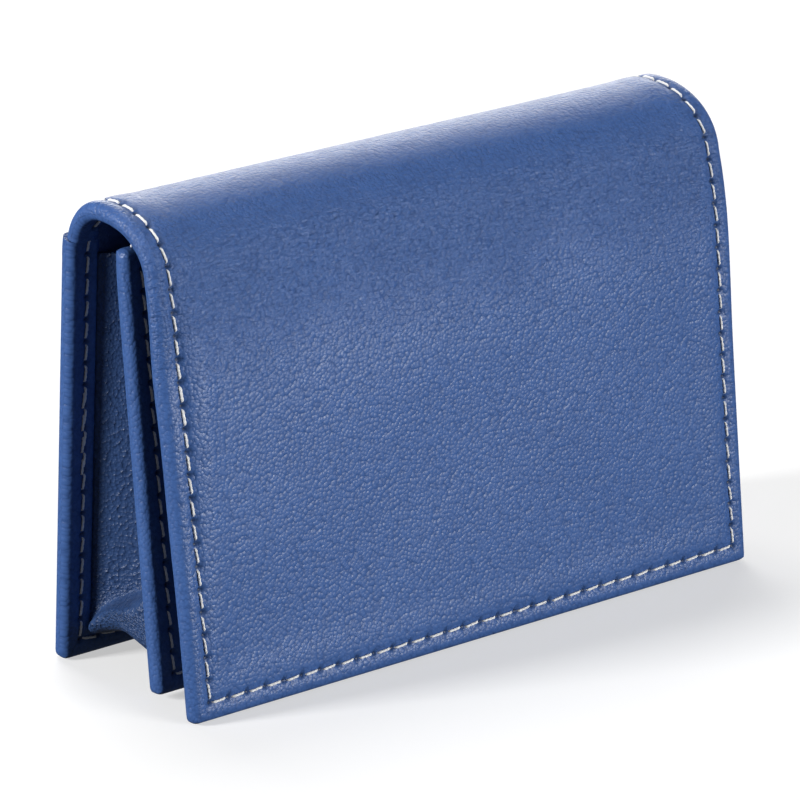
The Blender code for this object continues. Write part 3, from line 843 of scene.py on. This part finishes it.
def cover_shape(x, s, away):
    """Soft unevenness of the flap: a puff inside the seam and slow swells over the board."""
    puff = -0.16 * MM * bell(away, 5.2 * MM, 2.2 * MM)
    edge_puff = -0.07 * MM * bell(away, 1.45 * MM, 0.5 * MM)
    swell = 0.07 * MM * waves(x, s, 46 * MM, 34 * MM, 4) * smoothstep(3 * MM, 12 * MM, away)
    ripple = 0.012 * MM * waves(x, s, 5 * MM, 4 * MM, 9) * smoothstep(3 * MM, 8 * MM, away)
    return puff + edge_puff + swell + ripple


def cover_bend(x, s):
    """How wrinkled the leather is by the bend at the crown, from nearly 0 to 1."""
    rise = smoothstep(43 * MM, 62 * MM, s + 3 * MM * waves(x, s, 30 * MM, 40 * MM, 12))
    calm = smoothstep(cover_length(math.radians(75.0)), cover_length(math.radians(35.0)), s)
    back = smoothstep(MOUTH + 6 * MM, MOUTH - 6 * MM, s)
    return 0.08 + 0.92 * rise * (0.25 + 0.75 * calm) * (0.4 + 0.6 * back)


def split_seam(stitches, line):
    """The stitches before a line and those past it, by their middles."""
    before = [p for p in stitches if (p[0][1] + p[1][1]) / 2 < line]
    after = [p for p in stitches if (p[0][1] + p[1][1]) / 2 >= line]
    return before, after


def stand_for(nodes):
    """Puts a piece in place of these CAD nodes, if any, by hiding them."""
    if nodes:
        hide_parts(*nodes)


def bend_front(obj, slot, *nodes):
    """For a piece at the crown's front fold: bakes its transform and puts it in place of these CAD nodes.
    """
    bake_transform(obj)
    stand_for(nodes)


def bend_back(obj, slot, *nodes):
    """For a piece at the crown's back fold: bakes its transform and puts it in place of these CAD nodes."""
    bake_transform(obj)
    stand_for(nodes)


def ride(obj, body, slot, *nodes):
    """Attaches a piece to one body."""
    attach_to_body(obj, body)
    stand_for(nodes)


def build_cover():
    """The flap, the crown and the run of leather down inside the rear sleeve."""
    whole = u_seam(FLAP_HALF - INSET, INSET, MOUTH - 0.4 * MM, 1)
    front_part, back_part = split_seam(whole, SPLIT)
    flap = panel("flap_leather", COVER, 0.0, SPLIT, FLAP_HALF, (0.0, EDGE), BLUE,
                 outer_seam=whole, inner_seam=whole, shape=cover_shape, bend=cover_bend)
    bend_front(flap, "cover_leather", "flap_cover", "spine_cover")
    rear = panel("crown_rear_leather", COVER, SPLIT, MOUTH - 0.25 * MM, FLAP_HALF, (0.0, EDGE), BLUE,
                 closed=(False, False), outer_seam=whole, inner_seam=whole, shape=cover_shape,
                 bend=cover_bend)
    bend_back(rear, "cover_leather")
    tail_end = COVER.total - SLEEVE_MARGIN - 0.3 * MM
    tail = panel("cover_tail_leather", COVER, MOUTH - 0.3 * MM, tail_end, BACK_HALF - 0.9 * MM,
                 (0.0, 0.6 * MM), BLUE, closed=(False, True), width=0.3 * MM, corner=0.4 * MM,
                 inner_margins=False)
    ride(tail, "back", "cover_leather", "back_cover")

    outside = on_curve(COVER, 0.0, -1)
    inside = on_curve(COVER, EDGE, 1)
    threads = (
        ("flap_stitches", outside, front_part, 11, bend_front, ("flap_thread",)),
        ("flap_inner_stitches", inside, front_part, 12, bend_front, ()),
        ("crown_stitches", outside, back_part, 13, bend_back, ("spine_thread_left", "spine_thread_right")),
        ("crown_inner_stitches", inside, back_part, 14, bend_back, ()),
    )
    for name, place, stitches, seed, attach, nodes in threads:
        thread = thread_mesh(name, place, stitches, seed)
        attach(thread, "thread", *nodes)


def build_linings():
    """The lining inside the flap, the crown and the pocket, tucked under the turned-in margins."""
    tuck = 0.35 * MM
    wall_tuck = 0.3 * MM
    wall_out = 1.7 * MM
    clear = 0.1 * MM
    inner = FLAP_HALF - MARGIN + tuck
    depths = (LINING_OUT, LINING_IN)
    settings = {"width": 0.3 * MM, "corner": 0.6 * MM, "inner_margins": False}
    flap = panel("flap_lining_sheet", COVER, MARGIN - tuck, SPLIT, inner, depths, LINING,
                 bend=cover_bend, shape=lining_shape, **settings)
    bend_front(flap, "lining_leather", "flap_lining", "spine_lining")
    crown = panel("crown_lining_sheet", COVER, SPLIT, MOUTH, inner, depths, LINING,
                  closed=(False, False), bend=cover_bend, **settings)
    bend_back(crown, "lining_leather")
    wall = panel("pocket_rear_lining_sheet", COVER, MOUTH, COVER.total - SLEEVE_MARGIN + wall_tuck,
                 BACK_HALF - SLEEVE_MARGIN + wall_tuck, (wall_out, SLEEVE_IN - clear), LINING,
                 closed=(False, True), **settings)
    ride(wall, "back", "lining_leather", "back_lining")
    front = panel("pocket_front_lining_sheet", FRONT, MARGIN - tuck,
                  FRONT.total - MARGIN + tuck, FRONT_HALF - MARGIN + tuck,
                  (wall_out, FRONT_EDGE - clear), LINING, closed=(True, True), **settings)
    ride(front, "pocket_front", "lining_leather", "pocket_front_lining")


def lining_shape(x, s, away):
    """Slight swells of the lining; away, the distance from the edge, doesn't matter to it."""
    return 0.03 * MM * waves(x, s, 20 * MM, 16 * MM, 21)


def build_sleeve():
    """The rear sleeve, its side and foot edges turned round on to the inside and sewn there."""
    foot = COVER.total - INSET
    seam_top = MOUTH + 1.2 * MM
    seam = u_seam(BACK_HALF - INSET, foot, seam_top, -1)
    inner_seam = u_seam(BACK_HALF - INSET, foot, seam_top - PITCH, -1)
    sleeve = panel("rear_sleeve_leather", COVER, MOUTH, COVER.total, BACK_HALF, (SLEEVE_OUT, SLEEVE_IN),
                   BLUE, closed=(False, True), margin=SLEEVE_MARGIN, skin=0.6 * MM, width=1.35 * MM,
                   outer_seam=seam, inner_seam=seam, shape=sleeve_shape)
    ride(sleeve, "back", "cover_leather", "back_sleeve")
    # A second run of stitches beside the first, on the left only
    doubled = run(-(BACK_HALF - INSET) - 0.25 * MM,
                  foot - evenly(24.0 * MM, 37.5 * MM) - 1.4 * MM)
    inside = thread_mesh("pocket_rear_stitches", over_mouth, inner_seam + doubled, 15, 0.13 * MM)
    ride(inside, "back", "thread", "back_thread")
    outside = thread_mesh("rear_sleeve_stitches", on_curve(COVER, SLEEVE_OUT, -1), seam, 16)
    ride(outside, "back", "thread")


def over_mouth(x, s, lift):
    """Places for the threads inside the pocket, which step up to the crown's margin at the mouth."""
    past = smoothstep(MOUTH - 0.6 * MM, MOUTH + 0.4 * MM, s)
    floor = EDGE + (SLEEVE_IN - EDGE) * past
    return COVER.points(x, s, floor - GROOVE + lift)


def sleeve_shape(x, s, away):
    """Soft unevenness of the rear sleeve."""
    puff = -0.12 * MM * bell(away, 5.0 * MM, 2.2 * MM)
    swell = 0.08 * MM * waves(x, s, 40 * MM, 30 * MM, 31) * smoothstep(3 * MM, 12 * MM, away)
    return puff + swell


def build_slot_panel():
    """The slip panel on the pocket's rear wall, stitched along its top."""
    inset = 1.6 * MM
    start = COVER.nearest(CROWN_Y + CROWN_BACK, SLOT_HIGH.z)
    end = COVER.nearest(CROWN_Y + CROWN_BACK + BACK_LEAN * (CROWN_Z - SLOT_LOW.z), SLOT_LOW.z)
    half = SLOT_HIGH.x
    top = run(evenly(-half + inset, half - inset), start + inset)
    # The slot panel gets the darker copy of the blue leather, darkened as painted shade
    slot = panel("slot_panel_leather", COVER, start, end, half, (SLOT_OUT, SLOT_IN), SHADED_INNER_BLUE,
                 closed=(True, True), width=0.3 * MM, corner=1.0 * MM, inner_margins=False,
                 inner_seam=top)
    ride(slot, "back", "cover_leather", "slot_panel")
    thread = thread_mesh("slot_stitches", on_curve(COVER, SLOT_IN, 1), top, 17)
    ride(thread, "back", "thread")


def build_pocket_front():
    """The pocket's front wall, sewn all round, with a bar tack over each end of its top rim."""
    tack_half = 1.3 * MM
    half_x = FRONT_HALF - FRONT_INSET
    foot, top = FRONT_INSET, FRONT.total - FRONT_INSET
    sides = evenly(foot, top)
    seam = (run(-half_x, sides) + run(evenly(-half_x, half_x), foot) + run(half_x, sides)
            + run(evenly(-half_x, half_x), top))
    front = panel("pocket_front_leather", FRONT, 0.0, FRONT.total, FRONT_HALF, (0.0, FRONT_EDGE), BLUE,
                  closed=(True, True), outer_seam=seam, inner_seam=seam, shape=front_shape,
                  width=1.15 * MM)
    ride(front, "pocket_front", "cover_leather", "pocket_front_cover")
    thread = thread_mesh("pocket_front_stitches", on_curve(FRONT, 0.0, -1), seam, 18)
    ride(thread, "pocket_front", "thread", "pocket_front_thread")
    inner = thread_mesh("pocket_front_inner_stitches", on_curve(FRONT, FRONT_EDGE, 1), seam, 19)
    tacks = [((side * (half_x + tack_half), 0.0), (side * (half_x - tack_half), 0.0))
             for side in (-1, 1)]
    tack = thread_mesh("pocket_front_bar_tacks", on_front_rim, tacks, 20)
    ride(tack, "pocket_front", "thread")
    ride(inner, "pocket_front", "thread")


def on_front_rim(x, s, lift):
    """Places along the top rim of the pocket front; s runs from its middle towards the back."""
    x, y, z = np.broadcast_arrays(x, FRONT_TOP_Y + FRONT_EDGE * RIM_SHARE + s, FRONT_TOP + lift)
    return np.stack([x, y, z], -1)


def front_shape(x, s, away):
    """Soft unevenness of the pocket front."""
    puff = -0.1 * MM * bell(away, 5.0 * MM, 2.0 * MM)
    swell = 0.06 * MM * waves(x, s, 40 * MM, 30 * MM, 41) * smoothstep(3 * MM, 12 * MM, away)
    return puff + swell


# ---- gusset


GUSSET_HALF = 47.5 * MM
GUSSET_FOOT = 3.3 * MM
GUSSET_TOP = GUSSET_HIGH.z
GUSSET_CORNER = 2.8 * MM
GUSSET_THICK = 0.6 * MM
LEAF_TOP = 5.6 * MM
LEAF_FOOT = 9.9 * MM
BULGE = 1.9 * MM
NOSE = 1.1 * MM
TUCK = 2.8 * MM
PUCKER = 0.2 * MM
GUSSET_ROWS = 210
GUSSET_COLUMNS = 41
LEAST_FOLD = 2 * MM
POP_RISE = 1.6 * MM
POP_SLANT = 10.6 * MM


def gusset_line(count):
    """Along one side, round the corner and along half the foot: length, x, z and outward direction in x."""
    side = GUSSET_TOP - GUSSET_FOOT - GUSSET_CORNER
    corner = math.pi / 2 * GUSSET_CORNER
    foot = GUSSET_HALF - GUSSET_CORNER
    length = np.linspace(0.0, side + corner + foot, count)
    x = np.full(count, -GUSSET_HALF)
    z = GUSSET_TOP - length
    out_x = np.full(count, -1.0)
    turning = (length > side) & (length <= side + corner)
    turn = (length[turning] - side) / GUSSET_CORNER
    x[turning] = -GUSSET_HALF + GUSSET_CORNER * (1 - np.cos(turn))
    z[turning] = GUSSET_FOOT + GUSSET_CORNER * (1 - np.sin(turn))
    out_x[turning] = -np.cos(turn)
    under = length > side + corner
    x[under] = -GUSSET_HALF + GUSSET_CORNER + length[under] - side - corner
    z[under] = GUSSET_FOOT
    out_x[under] = 0.0
    return length, x, z, out_x


def gusset_sheet():
    """The gusset's outer surface, as rows down one side, along the foot and up the other.

    Each row runs from the rear (v 0) to the front (v 1). It also returns each row's length along
    the strip and how near a corner it is.
    """
    length, x, z, out_x = gusset_line(GUSSET_ROWS)
    v = np.linspace(0.0, 1.0, GUSSET_COLUMNS)
    rear_y = CROWN_Y + CROWN_BACK + BACK_LEAN * (CROWN_Z - z) - SLEEVE_IN - 0.03 * MM
    front_y = np.interp(z, FRONT.z, FRONT.y) + FRONT_EDGE + 0.05 * MM
    half_gap = (rear_y - front_y) / 2
    low = np.clip((GUSSET_TOP - z) / (GUSSET_TOP - GUSSET_FOOT), 0, 1)
    leaf = LEAF_TOP + (LEAF_FOOT - LEAF_TOP) * low
    depth = np.sqrt(np.maximum(leaf**2 - half_gap**2, LEAST_FOLD**2))
    side_end = GUSSET_TOP - GUSSET_FOOT - GUSSET_CORNER
    corner_end = side_end + math.pi / 2 * GUSSET_CORNER
    into_corner = smoothstep(side_end - 12 * MM, side_end, length)
    out_of_corner = smoothstep(corner_end, corner_end + 16 * MM, length)
    fold = 1 - np.sqrt((2 * v - 1) ** 2 + 0.03)
    fold = np.maximum(fold, 0) / fold.max()
    sink = depth[:, None] * fold[None, :]
    pucker = PUCKER * waves(length[:, None], v[None, :] * 14 * MM, 7 * MM, 9 * MM, 52)
    near_corner = (into_corner * (1 - out_of_corner))[:, None]
    edge_hold = np.sin(np.pi * v)[None, :] ** 0.5
    sink = sink + pucker * edge_hold * (0.25 + 0.6 * near_corner)
    # The fold turns inside out at the corner, along a slanting line that is lower at the rear
    slant = side_end + POP_RISE - POP_SLANT * v**0.85
    past = length[:, None] - slant[None, :]
    popped = smoothstep(-2.3 * MM, 1.7 * MM, past)
    ridge = np.exp(-(np.maximum(0.0, past - 1.5 * MM) / (7.5 * MM)) ** 2)
    dome = np.sin(np.pi * np.clip(v * 0.97 + 0.03, 0, 1)) ** 0.5
    nose = NOSE * bell(v, 0.15, 0.13)[None, :] * bell(past, 2.6 * MM, 2.6 * MM)
    bulge = BULGE * dome[None, :] * (0.35 + 0.65 * ridge) + nose
    outward = popped * (1 - out_of_corner[:, None])
    tucked = smoothstep(side_end - 6 * MM, side_end + 1 * MM, length)[:, None] * TUCK * fold[None, :]
    sideways = sink * (1 - popped) - bulge * outward
    upward = tucked + (sink * (length[:, None] > side_end) - tucked) * out_of_corner[:, None]
    on_side = (-out_x)[:, None]
    shift_x = sideways * on_side
    shift_x -= bulge * outward * (1 - on_side) * (1 - out_of_corner[:, None])
    shift_z = upward
    y = rear_y[:, None] * (1 - v) + front_y[:, None] * v
    points = np.stack([x[:, None] + shift_x, y, z[:, None] + shift_z], -1)
    mirrored = points[:-1][::-1] * np.array([-1.0, 1.0, 1.0])
    along = np.concatenate([length, 2 * length[-1] - length[:-1][::-1]])
    near = near_corner[:, 0]
    return np.concatenate([points, mirrored]), along, np.concatenate([near, near[:-1][::-1]])


def build_gusset():
    """The folded strip between the back and the pocket front, as one closed mesh with two faces."""
    outer, along, near = gusset_sheet()
    rows, cols = outer.shape[:2]
    down = np.gradient(outer, axis=0)
    over = np.gradient(outer, axis=1)
    normal = np.cross(down, over)
    normal /= np.linalg.norm(normal, axis=-1, keepdims=True)
    inner = outer + normal * GUSSET_THICK * inside_sign(outer, normal)
    points = np.concatenate([outer.reshape(-1, 3), inner.reshape(-1, 3)])
    step = np.linalg.norm(np.diff(outer, axis=1), axis=-1).mean()
    down_strip, over_strip = np.meshgrid(along, np.arange(cols) * step, indexing="ij")
    uv = np.stack([over_strip, down_strip], -1).reshape(-1, 2)
    index = np.arange(rows * cols).reshape(rows, cols)
    back = index + rows * cols
    faces = quads(index[:-1, :-1], index[:-1, 1:], index[1:, 1:], index[1:, :-1])
    faces += quads(back[1:, :-1], back[1:, 1:], back[:-1, 1:], back[:-1, :-1])
    for a, b in ((index[:, 0], back[:, 0]), (back[:, -1], index[:, -1]), (back[0], index[0]),
                 (index[-1], back[-1])):
        faces += quads(a[:-1], a[1:], b[1:], b[:-1])
    bend = np.repeat((0.25 + 0.6 * near)[:, None], cols, axis=1).ravel()
    zero = np.zeros(2 * rows * cols)
    fields = {"hole": zero, "seam": zero, "bend": np.concatenate([bend, bend])}
    # The gusset gets the darker copy of the blue leather, darkened as painted shade
    gusset = new_mesh("gusset_leather", points, faces, SHADED_INNER_BLUE, np.concatenate([uv, uv]), fields)
    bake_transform(gusset)
    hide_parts("gusset_strip")


def inside_sign(surface, normal):
    """1 or -1, whichever turns the normal towards the middle of the case."""
    row, col = surface.shape[0] // 8, surface.shape[1] // 2
    return 1.0 if normal[row, col, 0] > 0 else -1.0


# ---- boards


def build_flap_board():
    """The flap's stiffener board, which follows the flap's slight warp."""
    low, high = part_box("flap_board")
    start = COVER.nearest(FLAP_FOOT_Y + FLAP_LEAN * low.z, low.z)
    board = panel("flap_board_sheet", COVER, start, start + high.z - low.z, high.x,
                  (SKIN + 0.1 * MM, SKIN + 0.6 * MM), BOARD, closed=(True, True), width=0.12 * MM,
                  corner=1.0 * MM, inner_margins=False)
    ride(board, "flap", "board", "flap_board")


def dress_boards():
    """The other stiffener boards keep their CAD shape and get a real board's face."""
    for name in ("back_board", "pocket_front_board"):
        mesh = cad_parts[name].data
        for i in range(len(mesh.materials)):
            mesh.materials[i] = BOARD


# ---- stage, light and camera


FLOOR_GLOW = 0.51
FLOOR_HALF = 4.0
FLOOR_DROP = 0.05 * MM
WORLD_STRENGTH = 0.06
SENSOR_WIDTH = 36.0
LENS = 247.5
CAMERA_AT = (-0.4704, -0.5886, 0.3005)
CAMERA_TARGET = (-0.00203, -0.00074, 0.0331)


def look_at(obj, target):
    """Turns a light or the camera to face a point."""
    obj.rotation_mode = "QUATERNION"
    away = Vector(obj.location) - Vector(target)
    obj.rotation_quaternion = away.to_track_quat("Z", "Y")


def floor():
    """A pale floor that glows a little, so that it stays white, and throws no light on the case."""
    mesh = bpy.data.meshes.new("floor")
    corners = [(FLOOR_HALF * x, FLOOR_HALF * y, 0) for x, y in ((-1, -1), (1, -1), (1, 1), (-1, 1))]
    mesh.from_pydata(corners, [], [(0, 1, 2, 3)])
    n = Nodes("pale_floor")
    place = n.add("ShaderNodeTexCoord").outputs["Object"]
    mottle = n.noise(place, 3.0, 2.0)
    tone = n.mix(mottle, rgb(0.54, 0.54, 0.54), rgb(0.57, 0.57, 0.57))
    n.link(tone, n.shader.inputs["Base Color"])
    n.set(n.shader, Roughness=0.9, Specular_IOR_Level=0.1, Emission_Color=(1, 1, 1, 1),
          Emission_Strength=FLOOR_GLOW)
    mesh.materials.append(n.material)
    obj = bpy.data.objects.new("floor", mesh)
    obj.location.z = -FLOOR_DROP
    obj.visible_diffuse = False
    obj.visible_glossy = False
    bpy.context.scene.collection.objects.link(obj)


def area_light(name, towards, distance, target, size, power, spread=180.0):
    """A rectangular softbox this far from the target; towards is the direction from the target to it."""
    data = bpy.data.lights.new(name, "AREA")
    data.shape = "RECTANGLE"
    data.size, data.size_y = size
    data.energy = power
    data.spread = math.radians(spread)
    obj = bpy.data.objects.new(name, data)
    obj.location = Vector(target) + Vector(towards).normalized() * distance
    bpy.context.scene.collection.objects.link(obj)
    look_at(obj, target)
    return obj


def world_light(strength):
    world = bpy.data.worlds.new("studio")
    world.use_nodes = True
    background = world.node_tree.nodes["Background"]
    background.inputs["Color"].default_value = (1, 1, 1, 1)
    background.inputs["Strength"].default_value = strength
    bpy.context.scene.world = world


def studio():
    """Soft light from the front right, low behind, above and the left."""
    world_light(WORLD_STRENGTH)
    area_light("front_softbox", towards=(0.38, -0.92, 0.13), distance=1.0,
               target=(-0.05, -0.012, 0.077), size=(0.45, 0.28), power=0.76, spread=46.0)
    area_light("back_wall", towards=(0.6, 0.76, 0.2), distance=0.9,
               target=(0.0, 0.0, 0.06), size=(0.6, 0.32), power=3.45)
    area_light("high_key", towards=(0.08, 0.40, 0.91), distance=0.9,
               target=(0.0, 0.0, 0.03), size=(0.3, 0.3), power=3.2)
    area_light("left_strip", towards=(-0.92, 0.28, 0.33), distance=0.9,
               target=(-0.04, 0.0, 0.04), size=(0.2, 0.25), power=10.0)
    floor()


def camera():
    """A long lens at the photograph's viewing angle."""
    data = bpy.data.cameras.new("camera")
    data.sensor_width = SENSOR_WIDTH
    data.lens = LENS
    data.clip_start = 0.05
    data.clip_end = 20.0
    obj = bpy.data.objects.new("camera", data)
    obj.location = CAMERA_AT
    look_at(obj, CAMERA_TARGET)
    bpy.context.scene.collection.objects.link(obj)
    bpy.context.scene.camera = obj


build_cover()
build_linings()
build_sleeve()
build_slot_panel()
build_pocket_front()
build_gusset()
build_flap_board()
dress_boards()
studio()
camera()
bpy.context.scene.view_settings.view_transform = "Standard"
